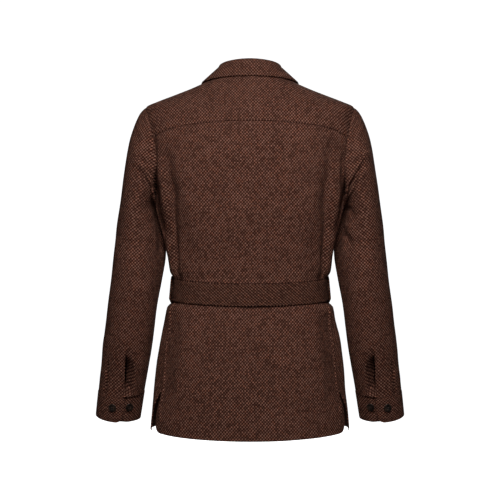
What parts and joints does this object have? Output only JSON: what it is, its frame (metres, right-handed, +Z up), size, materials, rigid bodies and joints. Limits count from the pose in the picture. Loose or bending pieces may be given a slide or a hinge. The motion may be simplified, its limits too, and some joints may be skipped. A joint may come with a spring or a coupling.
{
  "type": "safari jacket",
  "caption": "Belted safari jacket in brown tweed with a shirt collar, back yoke, side vents and buttoned cuffs, hollow as worn.",
  "frame": {"origin": "middle of the neck opening at the height of the shoulder line's neck points, where the wearer holds it up", "axes": "+Z up, the front of the jacket faces -Y, +X is the wearer's left"},
  "size_m": [0.6276, 0.2527, 0.7465],
  "materials": {
    "tweed": "brown barleycorn wool tweed",
    "belt_tweed": "the same tweed cut on the cross, doubled",
    "horn": "dark polished horn look",
    "buckle": "leather-covered frame"
  },
  "bodies": {
    "root": {"back_panel": "tweed", "back_yoke": "tweed", "front_left": "tweed", "front_right": "tweed", "collar": "tweed", "sleeve_left": "tweed", "sleeve_right": "tweed", "sleeve_under_left": "tweed", "sleeve_under_right": "tweed", "cuff_left": "tweed", "cuff_right": "tweed", "belt": "belt_tweed", "belt_loop_left": "belt_tweed", "belt_loop_right": "belt_tweed", "belt_buckle": "buckle", "cuff_button_left_1": "horn", "cuff_button_left_2": "horn", "cuff_button_right_1": "horn", "cuff_button_right_2": "horn", "front_button_1": "horn", "front_button_2": "horn", "front_button_3": "horn", "front_button_4": "horn", "front_button_5": "horn", "front_button_6": "horn"}
  },
  "joints": []
}
